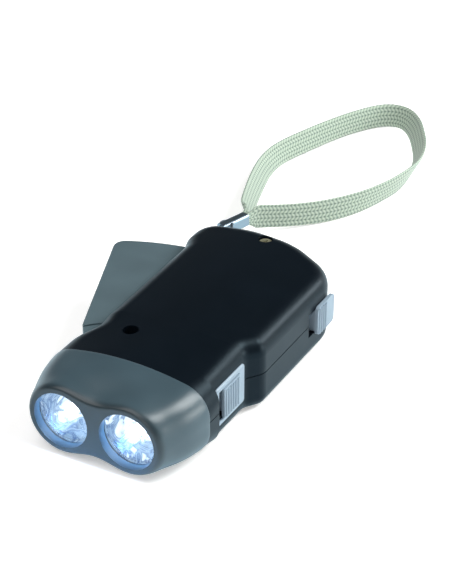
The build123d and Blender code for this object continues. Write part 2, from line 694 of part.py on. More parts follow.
def tooth(teeth, module, centre):
    """Outline (r, angle) of one tooth, from its right root to its left root."""
    pitch_r = teeth * module / 2
    base_r = pitch_r * cos(radians(PRESSURE_DEG))
    tip_r, root_r = pitch_r + ADDENDUM * module, pitch_r - DEDENDUM * module
    half = (pi * module / 2 - BACKLASH) / 2 / pitch_r + involute(radians(PRESSURE_DEG))
    flank = []
    for i in range(5):
        r = max(base_r, root_r) + (tip_r - max(base_r, root_r)) * i / 4
        flank.append((r, half - involute(acos(min(1.0, base_r / r)))))
    side = [(root_r, flank[0][1] + 0.12 * module / root_r)] + flank
    right = [(r, centre - a) for r, a in side]
    left = [(r, centre + a) for r, a in reversed(side)]
    return right + left


def toothed_outline(teeth, module, phase, which=None):
    """Points (x, y) round a gear, or over some of its teeth."""
    points = []
    for i in which or range(teeth):
        for r, a in tooth(teeth, module, phase + 2 * pi * i / teeth):
            points.append((r * cos(a), r * sin(a)))
    return points


def gear_face(x, d, teeth, module, phase):
    """Face of a whole gear in the Z=0 plane."""
    outline = toothed_outline(teeth, module, phase)
    return Pos(x, y_at(d), 0) * make_face(Polyline(*[(px, py, 0) for px, py in outline], close=True))


def meshed_phase(teeth_a, phase_a, teeth_b, direction):
    """Phase that puts gear B's gap on gear A's tooth, with B in the given direction from A."""
    return direction + pi - ((phase_a - direction) * teeth_a + pi) / teeth_b


FIRST_PHASE = meshed_phase(SECTOR_TEETH, radians(FIRST_DEG), PINION_TEETH, radians(FIRST_DEG))
WHEEL_PHASE = 0.0
SECOND_PHASE = meshed_phase(WHEEL_TEETH, WHEEL_PHASE, SECOND_PINION_TEETH, radians(SECOND_DEG))
SECOND_WHEEL_PHASE = 0.0
ROTOR_PHASE = meshed_phase(SECOND_TEETH, SECOND_WHEEL_PHASE, ROTOR_TEETH, radians(ROTOR_DEG))


def make_first_pinion():
    """Pinion that the lever's sector drives, with the ratchet of the one-way clutch above it."""
    x, d = FIRST_AXLE
    pinion = slab(gear_face(x, d, PINION_TEETH, SECTOR_MODULE, FIRST_PHASE), *PINION_Z)
    points = []
    for i in range(RATCHET_TEETH):
        a = 2 * pi * i / RATCHET_TEETH
        for r in (RATCHET_R, RATCHET_R - 0.7):
            points.append((r * cos(a), r * sin(a), 0))
    ratchet = Pos(x, y_at(d), 0) * make_face(Polyline(*points, close=True))
    pinion += slab(ratchet, PINION_Z[1], WHEEL_Z[1] - 0.5)
    return pinion - rod(x, d, AXLE_R + RUN, 0, BODY_H)


def make_first_wheel():
    """Large wheel with a pocket for the ratchet and its pawls."""
    x, d = FIRST_AXLE
    phase = WHEEL_PHASE
    wheel = slab(gear_face(x, d, WHEEL_TEETH, WHEEL_MODULE, phase), *WHEEL_Z)
    wheel -= rod(x, d, CLUTCH_R, WHEEL_Z[0] - 1, WHEEL_Z[1] - 0.4)
    return wheel - rod(x, d, AXLE_R + RUN, 0, BODY_H)


def make_clutch_pawls():
    """Thin ring in the wheel's pocket with three springy pawls that lean on the ratchet."""
    x, d = FIRST_AXLE
    z0, z1 = WHEEL_Z[0] + 0.1, WHEEL_Z[1] - 0.5
    ring = tube(x, d, CLUTCH_R, CLUTCH_R - 0.5, z0, z1)
    for i in range(PAWLS):
        start = 360 / PAWLS * i
        arm = [polar(0, 0, CLUTCH_R - 0.2, start), polar(0, 0, CLUTCH_R - 0.2, start + 12),
               polar(0, 0, RATCHET_R + 1.0, start + 42), polar(0, 0, RATCHET_R + 0.02, start + 60),
               polar(0, 0, RATCHET_R + 0.35, start + 38)]
        face = Pos(x, y_at(d), 0) * make_face(Polyline(*[(px, py, 0) for px, py in arm], close=True))
        ring += slab(face, z0, z1)
    return ring


def make_second_gear():
    """Compound gear: small pinion below, wheel above."""
    x, d = SECOND_AXLE
    gear = slab(gear_face(x, d, SECOND_PINION_TEETH, WHEEL_MODULE, SECOND_PHASE), SECOND_PINION_Z0, SECOND_Z[0])
    gear += slab(gear_face(x, d, SECOND_TEETH, ROTOR_MODULE, SECOND_WHEEL_PHASE), *SECOND_Z)
    for i in range(5):
        hx, hd = polar(x, d, 5.3, 72 * i)
        gear -= rod(hx, hd, 1.1, SECOND_Z[0] - 1, SECOND_Z[1] + 1)
    return gear - rod(x, d, AXLE_R + RUN, 0, BODY_H)


def make_rotor_pinion():
    x, d = ROTOR_AXLE
    pinion = slab(gear_face(x, d, ROTOR_TEETH, ROTOR_MODULE, ROTOR_PHASE), ROTOR_PINION_Z0, PLATE_Z[0] - 0.3)
    return pinion - rod(x, d, AXLE_R, 0, BODY_H)


# ================================================================ lever
def lever_outline(shrink=0.0):
    """Plan of the lever's plates at rest, or of the space between its walls."""
    lean = radians(LEVER_SPLAY)
    toe, nose = lever_front_edge()
    across, along = (cos(lean), sin(lean)), (-sin(lean), cos(lean))
    run = hypot(nose[0] - toe[0], nose[1] - toe[1])
    front = ((nose[0] - toe[0]) / run, (nose[1] - toe[1]) / run)
    inward = (front[1], -front[0])
    if shrink:
        turn = acos(front[0] * along[0] + front[1] * along[1])
        slide = shrink * tan(turn / 2)
        nose = tuple(nose[i] + across[i] * shrink + along[i] * slide for i in (0, 1))
        toe = (toe[0] + inward[0] * shrink - front[0] * 3, toe[1] + inward[1] * shrink - front[1] * 3)
    end = (nose[0] + along[0] * LEVER_R * 1.2, nose[1] + along[1] * LEVER_R * 1.2)
    inner = polar(PIVOT_X, PIVOT_D, LEVER_R * 1.4, LEVER_INNER_DEG - (20 if shrink else 0))
    hip = polar(PIVOT_X, PIVOT_D, HUB_R, 10) if shrink else (PIVOT_X, PIVOT_D)
    outline = plan_face([toe, nose, end, inner, hip])
    outline &= Pos(PIVOT_X, y_at(PIVOT_D), 0) * Circle(LEVER_R - shrink)
    if not shrink:
        outline += Pos(PIVOT_X, y_at(PIVOT_D), 0) * Circle(HUB_R)
    return outline


def make_lever():
    """Hollow lever: two plates joined by an outer and a rear wall, with a toothed sector inside."""
    bottom = lever_bottom()
    body = slab(lever_outline(), bottom, LEVER_TOP_Z)
    rear = [e for e in body.edges().filter_by(Axis.Z) if e.center().X < PIVOT_X - 20 and e.center().Y > y_at(80)]
    body = fillet(rear, LEVER_CORNER_R)
    nose = [e for e in body.edges().filter_by(Axis.Z) if abs(e.center().X - LEVER_NOSE[0]) < 0.1]
    body = fillet(nose, LEVER_NOSE_R)
    rims = [e for e in body.edges() if abs(abs(e.center().Z - AXIS_Z) - (LEVER_TOP_Z - AXIS_Z)) < 0.01]
    rims = [e for e in rims if e.center().X < PIVOT_X - 10]
    body = fillet(rims, LEVER_EDGE_R)
    body -= slab(lever_outline(LEVER_T), bottom + LEVER_T, LEVER_TOP_Z - LEVER_T)
    body -= rod(PIVOT_X, PIVOT_D, HUB_R + 1, bottom + LEVER_T, LEVER_TOP_Z - LEVER_T)
    body += rod(PIVOT_X, PIVOT_D, HUB_TUBE_R, bottom + LEVER_T, LEVER_TOP_Z - LEVER_T)

    # thinner hinge end of both plates
    body -= rod(PIVOT_X, PIVOT_D, RELIEF_R, LEVER_TOP_Z - RELIEF_T, LEVER_TOP_Z + 1)
    body -= rod(PIVOT_X, PIVOT_D, RELIEF_R, bottom - 1, bottom + RELIEF_T)

    # toothed sector on the lower plate
    pitch_r = SECTOR_TEETH * SECTOR_MODULE / 2
    step = 2 * pi / SECTOR_TEETH
    first, last = -1, ceil(radians(SQUEEZE_DEG) / step)
    rim = toothed_outline(SECTOR_TEETH, SECTOR_MODULE, radians(FIRST_DEG), range(first, last + 1))
    root_deg = degrees(radians(FIRST_DEG) + step * (last + 0.5))
    arc_end = LEVER_INNER_DEG + 12
    inner_r = pitch_r - SECTOR_WEB
    far = [polar(0, 0, pitch_r - 2, root_deg + (arc_end - root_deg) * i / 4) for i in range(1, 5)]
    near = [polar(0, 0, inner_r, arc_end + (FIRST_DEG - 6 - arc_end) * i / 8) for i in range(9)]
    rim_pts = [(px, py, 0) for px, py in rim + far + near]
    sector = Pos(PIVOT_X, y_at(PIVOT_D), 0) * make_face(Polyline(*rim_pts, close=True))
    body += slab(sector, SECTOR_Z[0] - 0.2, SECTOR_Z[1])

    # lip on the upper plate that stops the lever against the wall
    lip = []
    for d, out in ((LIP_D[0], 0), (LIP_D[1], 0), (LIP_D[1], LIP_T), (LIP_D[0], LIP_T)):
        lip.append((lever_wall_x(d) + WALL + 0.5 + out, d))
    body += slab(plan_face(lip), LEVER_TOP_Z - 0.2, LIP_TOP_Z)

    # notch in the lower plate and rear wall for the lock's hook
    notch = block(-HOOK_W / 2 - 0.3, HOOK_W / 2 + 0.3, LOCKED_TIP_D - 0.6, PIVOT_D + LEVER_R + 5,
                  bottom - 1, HOOK_TOP_Z + 0.4)
    body -= turned_about_pivot(notch, SQUEEZE_DEG)
    return body - rod(PIVOT_X, PIVOT_D, PIN_R + RUN, 0, BODY_H)


def lever_wall_x(d):
    """Outside of the left wall over the lever."""
    return -LEVER_SIDE_X - (d - WAIST_D - 6) / (NOTCH_D - WAIST_D - 6)


def make_lever_spring():
    """Torsion coil round the lever's hub."""
    pitch = (SPRING_Z[1] - SPRING_Z[0]) / SPRING_TURNS
    path = Pos(PIVOT_X, y_at(PIVOT_D), SPRING_Z[0]) * Helix(pitch, SPRING_Z[1] - SPRING_Z[0], SPRING_R)
    start = path @ 0
    wire = Plane(origin=start, z_dir=path % 0) * Circle(SPRING_WIRE_R)
    return sweep(wire, path=path, is_frenet=True)


# ================================================================ generator
def make_gear_plate():
    """Steel plate over the gears, on three posts."""
    plate = slab(plan_face(PLATE_OUTLINE, 2.0), *PLATE_Z)
    for x, d in (FIRST_AXLE, SECOND_AXLE):
        plate -= rod(x, d, AXLE_R, 0, BODY_H)
    plate -= rod(*ROTOR_AXLE, BEARING_R, 0, BODY_H)
    for x, d in POSTS:
        plate -= rod(x, d, PLATE_SCREW_R, 0, BODY_H)
    return plate


def make_plate_screw(x, d):
    """Slotted screw through the gear plate into its post."""
    top = PLATE_Z[1] + 1.0
    screw = rod(x, d, PLATE_SCREW_R, PLATE_Z[0] - PLATE_SCREW_L, PLATE_Z[1])
    screw += rod(x, d, PLATE_SCREW_R * 2, PLATE_Z[1], top)
    return screw - block(x - 2, x + 2, d - 0.2, d + 0.2, top - 0.4, top + 1)


def make_flywheel():
    """Steel cup over the coil."""
    x, d = ROTOR_AXLE
    cup = rod(x, d, ROTOR_R, RIM_Z0, ROTOR_TOP_Z)
    cup = chamfer(cup.edges().sort_by(Axis.Z)[-1:], 0.4)
    cup -= rod(x, d, ROTOR_R - RIM_T, RIM_Z0 - 1, ROTOR_TOP_Z - 1.0)
    return cup - rod(x, d, AXLE_R, 0, BODY_H)


def make_magnet():
    x, d = ROTOR_AXLE
    return tube(x, d, ROTOR_R - RIM_T, ROTOR_R - RIM_T - MAGNET_T, RIM_Z0 + 0.2, ROTOR_TOP_Z - 1.0)


def make_stator():
    """Iron core: two plates on a hollow stem."""
    x, d = ROTOR_AXLE
    core = rod(x, d, STATOR_R, PLATE_Z[1], PLATE_Z[1] + STATOR_T)
    core += rod(x, d, STATOR_R, STATOR_TOP_Z - STATOR_T, STATOR_TOP_Z)
    core += rod(x, d, STEM_R, PLATE_Z[1], STATOR_TOP_Z)
    return core - rod(x, d, BEARING_R, 0, BODY_H)


def make_bobbin():
    """Spool between the core's plates."""
    x, d = ROTOR_AXLE
    z0, z1 = PLATE_Z[1] + STATOR_T, STATOR_TOP_Z - STATOR_T
    spool = rod(x, d, STEM_R + 0.6, z0, z1)
    spool += rod(x, d, STATOR_R - 0.3, z0, z0 + 0.4)
    spool += rod(x, d, STATOR_R - 0.3, z1 - 0.4, z1)
    return spool - rod(x, d, STEM_R, 0, BODY_H)


def make_coil():
    """Winding, as one solid ring."""
    x, d = ROTOR_AXLE
    z0, z1 = PLATE_Z[1] + STATOR_T + 0.4, STATOR_TOP_Z - STATOR_T - 0.4
    return tube(x, d, STATOR_R - 0.6, STEM_R + 0.6, z0, z1)


# ================================================================ electrics
def make_holder():
    """Tray for the cells, open on top."""
    x0, x1 = CELLS_X - CELL_R - HOLDER_T, CELLS_X + CELL_R + HOLDER_T
    d0, d1 = CELLS_D - CONTACT_T, CELLS_D + CELL_COUNT * CELL_L + CONTACT_T
    tray = block(x0, x1, d0 - HOLDER_T, d1 + HOLDER_T, WALL, CELLS_Z + 1.0)
    tray -= along_y(CELLS_X, CELLS_Z, CELL_R, d0, d1)
    return tray - block(CELLS_X - CELL_R, CELLS_X + CELL_R, d0, d1, CELLS_Z, BODY_H)


def make_cell(i):
    """Button cell with its raised pole."""
    d0 = CELLS_D + i * CELL_L
    cell = along_y(CELLS_X, CELLS_Z, CELL_R, d0, d0 + CELL_L - 0.5)
    return cell + along_y(CELLS_X, CELLS_Z, CELL_R * 0.8, d0, d0 + CELL_L)


def make_contact(d0):
    """Contact plate between the holder's end and the stack."""
    return block(CELLS_X - 2.8, CELLS_X + 2.8, d0, d0 + CONTACT_T, CELLS_Z - 3, CELLS_Z + 3.5)


def make_circuit():
    """Circuit board over the cells."""
    x0, x1, d0, d1 = CIRCUIT
    return block(x0, x1, d0, d1, CIRCUIT_Z, CIRCUIT_Z + CIRCUIT_T)


def make_diode(i):
    """One diode of the bridge, lying on the circuit board."""
    return along_y(4.0 + 3.4 * i, CIRCUIT_Z + CIRCUIT_T + DIODE_R, DIODE_R, 29.0, 33.2)


def make_capacitor():
    top = CIRCUIT_Z + CIRCUIT_T
    can = rod(*CAPACITOR, CAPACITOR_R, top, top + 4.4)
    return fillet(can.edges().sort_by(Axis.Z)[-1:], 0.4)


def switch_box():
    """Room taken by the slide switch's can: x, d and z ranges."""
    centre = (LIGHT_KNOB[0] + LIGHT_KNOB[1] - LIGHT_TRAVEL) / 2
    return (SWITCH_X[0], SWITCH_X[1], centre - 5.2, centre + 5.2, CIRCUIT_Z - 6.4, CIRCUIT_Z)


def make_switch_body():
    x0, x1, d0, d1, z0, z1 = switch_box()
    can = block(x0, x1, d0, d1, z0, z1)
    middle = (LIGHT_KNOB[0] + LIGHT_KNOB[1]) / 2
    return can - block(x1 - 2.2, x1 + 1, middle - 1.2 - LIGHT_TRAVEL, middle + 1.2, AXIS_Z - 1.1, AXIS_Z + 1.1)


def make_actuator():
    """Nib of the slide switch, held in the knob's fork."""
    middle = (LIGHT_KNOB[0] + LIGHT_KNOB[1]) / 2
    return block(SWITCH_X[1] - 2.0, SWITCH_X[1] + 1.2, middle - 1.0, middle + 1.0, AXIS_Z - 0.9, AXIS_Z + 0.9)


# ================================================================ sliders
def ribs(x, d_from, d_to, count):
    """Upright ribs across a knob."""
    made = []
    for i in range(count):
        d = d_from + (d_to - d_from) * (i + 0.5) / count
        made.append(rod(x, d, RIB_R, AXIS_Z - KNOB_H / 2 + 0.4, AXIS_Z + KNOB_H / 2 - 0.4))
    return made


def make_light_slider():
    """Ribbed knob with a neck through the wall, a flange behind it and a fork for the switch."""
    d0, d1 = LIGHT_KNOB
    half = KNOB_H / 2
    wall_in = WAIST_X - WALL
    knob = block(WAIST_X + 0.15, LIGHT_FACE_X, d0, d1, AXIS_Z - half, AXIS_Z + half)
    knob = fillet(knob.edges().filter_by(Axis.X), 0.5)
    for rib in ribs(LIGHT_FACE_X, d0 + 0.4, d1 - 0.6, 6):
        knob += rib
    neck_h = SLOT_H / 2 - 0.2
    knob += block(wall_in - 0.3, WAIST_X + 0.2, d0 + 1.5, d1 - 1.5, AXIS_Z - neck_h, AXIS_Z + neck_h)
    knob += block(wall_in - 1.2, wall_in - 0.2, d0 + 0.6, d1 - 0.6, AXIS_Z - half, AXIS_Z + half)
    middle = (d0 + d1) / 2
    for s in (-1, 1):
        prong = middle + s * 1.5
        knob += block(SWITCH_X[1] + 0.3, wall_in - 1.1, prong - 0.5, prong + 0.5, AXIS_Z - 1.5, AXIS_Z + 1.5)
    return knob


def make_switch_frame():
    """Pale frame let round the light switch, with the window that the knob slides in."""
    half = FRAME_H / 2
    frame = block(WAIST_X, WAIST_X + FRAME_T, FRAME[0], FRAME[1], AXIS_Z - half, AXIS_Z + half)
    frame = fillet(frame.edges().filter_by(Axis.X), 1.2)
    outer = [e for e in frame.edges() if abs(e.center().X - WAIST_X - FRAME_T) < 0.01]
    frame = chamfer(outer, 0.3)
    knob_half = KNOB_H / 2 + 0.2
    window = block(WAIST_X - 1, WAIST_X + 5, LIGHT_KNOB[0] - LIGHT_TRAVEL - 0.2, LIGHT_KNOB[1] + 0.2,
                   AXIS_Z - knob_half, AXIS_Z + knob_half)
    return frame - window


def make_lock_slider():
    """Knob on the grip's side, with an arm under the lever that ends in a hook."""
    d0, d1 = LOCK_KNOB
    n0, n1 = LOCK_NECK
    half = KNOB_H / 2
    wall_in = GRIP_X - WALL
    knob = block(GRIP_X + 0.2, LOCK_FACE_X, d0, d1, AXIS_Z - half, AXIS_Z + half)
    knob = fillet(knob.edges().filter_by(Axis.X), 1.6)
    for rib in ribs(LOCK_FACE_X, d0 + 0.6, d0 + 6.2, 4):
        knob += rib
    neck_h = SLOT_H / 2 - 0.2
    knob += block(wall_in - 0.4, GRIP_X + 0.3, n0, n1, AXIS_Z - neck_h, AXIS_Z + neck_h)
    knob += block(wall_in - 1.3, wall_in - 0.3, n0 - 0.8, n1 - 0.6, AXIS_Z - half, AXIS_Z + half)
    leg_x = wall_in - 4.4
    knob += block(leg_x, wall_in - 0.9, n0 + 0.2, n1 - 0.8, ARM_Z[0], AXIS_Z)
    knob += block(leg_x - 0.8, leg_x + 1.2, n0 + 0.2, ARM_D[1], *ARM_Z)
    knob += block(-HOOK_W / 2, leg_x + 0.4, *ARM_D, *ARM_Z)
    knob += block(-HOOK_W / 2, HOOK_W / 2, ARM_D[0], HOOK_D[1], *ARM_Z)
    knob += block(-HOOK_W / 2, HOOK_W / 2, *HOOK_D, ARM_Z[0], HOOK_TOP_Z)
    return knob


# ================================================================ strap
def crimp_front():
    """Front end of the crimp, on its centre line."""
    return polar(*CRIMP_END, -CRIMP_L, CRIMP_DEG)


def link_end():
    """Centre of the link's far bend, inside the crimp's front."""
    return polar(*crimp_front(), 2.6, CRIMP_DEG)


def link_turn():
    """Turn of the link from the body's axis, degrees."""
    x, d = link_end()
    return degrees(atan2(d - ANCHOR_D, x - ANCHOR_X)) - 90


def make_link():
    """Oval wire loop from the anchor pin to the crimp."""
    x, d = link_end()
    length = hypot(x - ANCHOR_X, d - ANCHOR_D)
    bend = ANCHOR_R + LINK_WIRE_R
    leg = Rot(-90, 0, 0) * Cylinder(LINK_WIRE_R, length, align=(Align.CENTER, Align.CENTER, Align.MIN))
    half, other = Pos(bend, 0, 0) * leg, Pos(-bend, 0, 0) * leg
    ring = Torus(bend, LINK_WIRE_R)
    near = ring & Pos(0, -BIG / 2, 0) * Box(BIG, BIG, BIG)
    far = Pos(0, length, 0) * (ring & Pos(0, BIG / 2, 0) * Box(BIG, BIG, BIG))
    return Pos(ANCHOR_X, y_at(ANCHOR_D), LINK_Z) * Rot(0, 0, link_turn()) * (half + other + near + far)


def strap_points():
    """Corners of the strap's mid-line from one end in the crimp, round the loop, to the other."""
    side = STRAP_T / 2 + 0.05
    px, pd = polar(0, 0, side, CRIMP_DEG - 90)
    inner = polar(*CRIMP_END, -STRAP_IN, CRIMP_DEG)
    mouth = polar(*CRIMP_END, 3.0, CRIMP_DEG)
    points = [(inner[0] + px, inner[1] + pd, CRIMP_Z), (mouth[0] + px, mouth[1] + pd, CRIMP_Z)]
    last = len(STRAP_PATH) - 1
    for i, (x, d) in enumerate(STRAP_PATH):
        share = {0: 0.35, 1: 0.75, last: 0.4, last - 1: 0.85}.get(i, 1.0)
        points.append((x, d, CRIMP_Z + (STRAP_Z - CRIMP_Z) * share))
    points += [(mouth[0] - px, mouth[1] - pd, CRIMP_Z), (inner[0] - px, inner[1] - pd, CRIMP_Z)]
    return [(x, y_at(d), z) for x, d, z in points]


def make_strap():
    """Woven band on edge, with both ends in the crimp."""
    points = [Vector(*p) for p in strap_points()]
    radii = []
    for a, b, c in zip(points, points[1:], points[2:]):
        turn = radians((b - a).get_angle(c - b))
        radii.append(0.45 * min((b - a).length, (c - b).length) / tan(turn / 2))
    path = FilletPolyline(*points, radius=radii)
    plane = Plane(origin=points[0], x_dir=Vector(0, 0, 1), z_dir=(points[1] - points[0]).normalized())
    band = sweep(plane * Rectangle(STRAP_W, STRAP_T), path=path)
    for wedge in pinch_cuts():
        band -= wedge
    print("strap length", round(path.length, 2), "volume", round(band.volume, 1),
          "section x length", round(path.length * STRAP_W * STRAP_T, 1))
    print("strap bends", [round(r, 1) for r in radii])
    return band


def pinch_cuts():
    """Wedges above and below the strap's ends, which gather it to the crimp's height."""
    start, reach, open_h = -STRAP_IN - 2, 12.0, STRAP_W / 2 + 0.4
    half = STRAP_PINCH / 2
    slope = (STRAP_W / 2 - half) / PINCH_RUN
    far = 0.3 + (open_h - half) / slope
    profile = [(start, half), (0.3, half), (far, open_h), (start, open_h)]
    cuts = []
    for side in (1, -1):
        face = make_face(Polyline(*[(0, along, side * z) for along, z in profile], close=True))
        wedge = Pos(-reach, 0, 0) * extrude(face, 2 * reach, dir=(1, 0, 0))
        cuts.append(Pos(CRIMP_END[0], y_at(CRIMP_END[1]), CRIMP_Z) * Rot(0, 0, CRIMP_DEG - 90) * wedge)
    return cuts


def make_crimp(link, strap):
    """Folded metal sleeve round both ends of the strap, hooked into the link."""
    x, d = polar(*CRIMP_END, -CRIMP_L / 2, CRIMP_DEG)
    z = CRIMP_Z
    sleeve = fillet(Box(CRIMP_T, CRIMP_L, CRIMP_H).edges().filter_by(Axis.Y), 1.0)
    sleeve = Pos(x, y_at(d), z) * Rot(0, 0, CRIMP_DEG - 90) * sleeve
    pocket = Box(STRAP_T * 2 + 0.1, STRAP_IN, STRAP_PINCH)
    px, pd = polar(*CRIMP_END, -STRAP_IN / 2, CRIMP_DEG)
    sleeve -= Pos(px, y_at(pd), z) * Rot(0, 0, CRIMP_DEG - 90) * pocket
    return sleeve - link - strap


# ================================================================ all pieces
def make_all():
    """Every piece by name."""
    pieces = {}
    pieces["upper_housing"], pieces["lower_housing"] = make_housings()
    pieces["lamp_head"] = make_lamp_head()
    pieces["lamp_carrier"] = make_carrier()
    pieces["led_board"] = make_led_board()
    for side, x in zip(("left", "right"), LAMPS_X):
        pieces["lens_" + side] = make_lens(x)
        pieces["reflector_" + side] = make_reflector(x)
        pieces["led_" + side] = make_led(x)
    pieces["squeeze_lever"] = make_lever()
    pieces["lever_pin"] = rod(PIVOT_X, PIVOT_D, PIN_R, *PIN_Z)
    pieces["lever_spring"] = make_lever_spring()
    pieces["first_axle"] = rod(*FIRST_AXLE, AXLE_R, WALL, PLATE_Z[1])
    pieces["second_axle"] = rod(*SECOND_AXLE, AXLE_R, WALL, PLATE_Z[1])
    pieces["first_pinion"] = make_first_pinion()
    pieces["first_wheel"] = make_first_wheel()
    pieces["clutch_pawls"] = make_clutch_pawls()
    pieces["second_gear"] = make_second_gear()
    pieces["rotor_pinion"] = make_rotor_pinion()
    pieces["rotor_shaft"] = rod(*ROTOR_AXLE, AXLE_R, *SHAFT_Z)
    pieces["rotor_bearing"] = tube(*ROTOR_AXLE, BEARING_R, AXLE_R + RUN, PLATE_Z[0], STATOR_TOP_Z)
    pieces["flywheel"] = make_flywheel()
    pieces["ring_magnet"] = make_magnet()
    pieces["stator_core"] = make_stator()
    pieces["coil_bobbin"] = make_bobbin()
    pieces["coil_winding"] = make_coil()
    pieces["gear_plate"] = make_gear_plate()
    for name, (x, d) in zip(("front", "side", "rear"), POSTS):
        pieces["plate_screw_" + name] = make_plate_screw(x, d)
    pieces["battery_holder"] = make_holder()
    for i, name in enumerate(("front", "middle", "rear")):
        pieces["button_cell_" + name] = make_cell(i)
    pieces["cell_contact_front"] = make_contact(CELLS_D - CONTACT_T)
    pieces["cell_contact_rear"] = make_contact(CELLS_D + CELL_COUNT * CELL_L)
    pieces["main_board"] = make_circuit()
    pieces["smoothing_capacitor"] = make_capacitor()
    for i in range(4):
        pieces["rectifier_diode_" + "abcd"[i]] = make_diode(i)
    pieces["slide_switch_body"] = make_switch_body()
    pieces["switch_actuator"] = make_actuator()
    pieces["light_switch_slider"] = make_light_slider()
    pieces["switch_frame"] = make_switch_frame()
    pieces["lock_slider"] = make_lock_slider()
    for name, (x, d, seat) in zip(("front", "rear"), HOUSING_SCREWS):
        pieces["housing_screw_" + name] = make_housing_screw(x, d, seat)
    pieces["strap_anchor_pin"] = rod(ANCHOR_X, ANCHOR_D, ANCHOR_R, *ANCHOR_Z)
    pieces["strap_link"] = make_link()
    pieces["wrist_strap"] = make_strap()
    pieces["strap_ferrule"] = make_crimp(pieces["strap_link"], pieces["wrist_strap"])
    return pieces


for piece_name, piece in make_all().items():
    solids = piece.solids()
    if len(solids) != 1:
        print("solids in", piece_name, len(solids), [round(s.volume, 3) for s in solids])
    piece = solids[0] if len(solids) == 1 else piece
    piece.label = piece_name
    export_step(piece, os.path.join("parts", piece_name + ".step"))
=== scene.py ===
"""Looks of the squeeze-lever torch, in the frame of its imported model."""
import bpy
import bmesh
import math
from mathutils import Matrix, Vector

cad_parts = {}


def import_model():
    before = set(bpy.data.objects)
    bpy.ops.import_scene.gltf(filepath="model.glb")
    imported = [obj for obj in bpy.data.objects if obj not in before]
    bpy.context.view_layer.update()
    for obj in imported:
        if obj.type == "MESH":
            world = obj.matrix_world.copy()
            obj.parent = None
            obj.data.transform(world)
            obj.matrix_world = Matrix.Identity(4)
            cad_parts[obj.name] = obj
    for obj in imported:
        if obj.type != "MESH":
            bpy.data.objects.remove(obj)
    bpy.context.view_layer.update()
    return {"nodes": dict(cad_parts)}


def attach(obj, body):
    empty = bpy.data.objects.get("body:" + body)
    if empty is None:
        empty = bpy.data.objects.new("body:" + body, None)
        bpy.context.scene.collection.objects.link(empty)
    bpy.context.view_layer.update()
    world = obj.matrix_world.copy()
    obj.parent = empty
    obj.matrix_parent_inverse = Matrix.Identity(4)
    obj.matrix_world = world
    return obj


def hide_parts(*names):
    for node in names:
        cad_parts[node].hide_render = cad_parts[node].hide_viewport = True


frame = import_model()
NODES = frame["nodes"]
scene = bpy.context.scene
scene.view_settings.view_transform = "Standard"

MM = 0.001
FRONT_Y = -53.5                     # front face of the lamp head, mm
AXIS_Z = 12.2                       # height of the lamps' axes, mm
LAMPS_X = (-11.0, 11.0)


def v(x, d, z):
    """Point in metres from x, station behind the front face and height, in millimetres."""
    return Vector((x * MM, (FRONT_Y + d) * MM, z * MM))


# ---------------------------------------------------------------- camera
AZIMUTH, ELEVATION, DISTANCE = math.radians(28.7907), math.radians(30.6766), 0.480
TARGET = Vector((22.5742, -16.5, 45.2674)) * MM
FOCAL_PIXELS, IMAGE_PIXELS, SENSOR = 1693.5482, 584, 24.0

away = Vector((math.sin(AZIMUTH) * math.cos(ELEVATION),
               -math.cos(AZIMUTH) * math.cos(ELEVATION), math.sin(ELEVATION)))
cam_data = bpy.data.cameras.new("camera")
cam_data.sensor_fit = "VERTICAL"
cam_data.sensor_height = SENSOR
cam_data.lens = FOCAL_PIXELS * SENSOR / IMAGE_PIXELS
cam_data.clip_start = 0.01
camera = bpy.data.objects.new("camera", cam_data)
scene.collection.objects.link(camera)
camera.location = TARGET + away * DISTANCE
camera.rotation_euler = (-away).to_track_quat("-Z", "Y").to_euler()
scene.camera = camera


# ---------------------------------------------------------------- material helpers
def material(name, color, rough=0.4, metal=0.0, **extra):
    """New node material; returns it with its nodes, links and surface shader."""
    mat = bpy.data.materials.new(name)
    mat.use_nodes = True
    mat.diffuse_color = (*color, 1)
    nodes, links = mat.node_tree.nodes, mat.node_tree.links
    shader = nodes["Principled BSDF"]
    shader.inputs["Base Color"].default_value = (*color, 1)
    shader.inputs["Roughness"].default_value = rough
    shader.inputs["Metallic"].default_value = metal
    for key, value in extra.items():
        shader.inputs[key.replace("_", " ")].default_value = value
    return mat, nodes, links, shader


def feed(links, sockets, values):
    """Puts numbers and vectors on sockets, and links outputs to them."""
    for socket, value in zip(sockets, values):
        if isinstance(value, (int, float, tuple)):
            socket.default_value = value
        else:
            links.new(value, socket)


def calc(nodes, links, kind, *values):
    """Result of a math node."""
    node = nodes.new("ShaderNodeMath")
    node.operation = kind
    feed(links, node.inputs, values)
    return node.outputs[0]


def vector_calc(nodes, links, kind, *values):
    """Outputs of a vector math node."""
    node = nodes.new("ShaderNodeVectorMath")
    node.operation = kind
    feed(links, node.inputs, values)
    return node.outputs


def separate(nodes, links, source):
    """The X, Y and Z of a vector."""
    node = nodes.new("ShaderNodeSeparateXYZ")
    links.new(source, node.inputs["Vector"])
    return node.outputs


def place(nodes, kind="Object"):
    """Coordinates of the shaded point."""
    return nodes.new("ShaderNodeTexCoord").outputs[kind]


def remap(nodes, links, source, start=(0.0, 1.0), end=(0.0, 1.0), kind="LINEAR"):
    """A value moved from one range to another."""
    node = nodes.new("ShaderNodeMapRange")
    node.interpolation_type = kind
    node.inputs["From Min"].default_value, node.inputs["From Max"].default_value = start
    node.inputs["To Min"].default_value, node.inputs["To Max"].default_value = end
    links.new(source, node.inputs["Value"])
    return node.outputs["Result"]


def noise(nodes, links, scale, detail, distortion=0.0):
    """Noise value in object space."""
    node = nodes.new("ShaderNodeTexNoise")
    node.inputs["Scale"].default_value = scale
    node.inputs["Detail"].default_value = detail
    node.inputs["Distortion"].default_value = distortion
    links.new(place(nodes), node.inputs["Vector"])
    return node.outputs["Fac"]


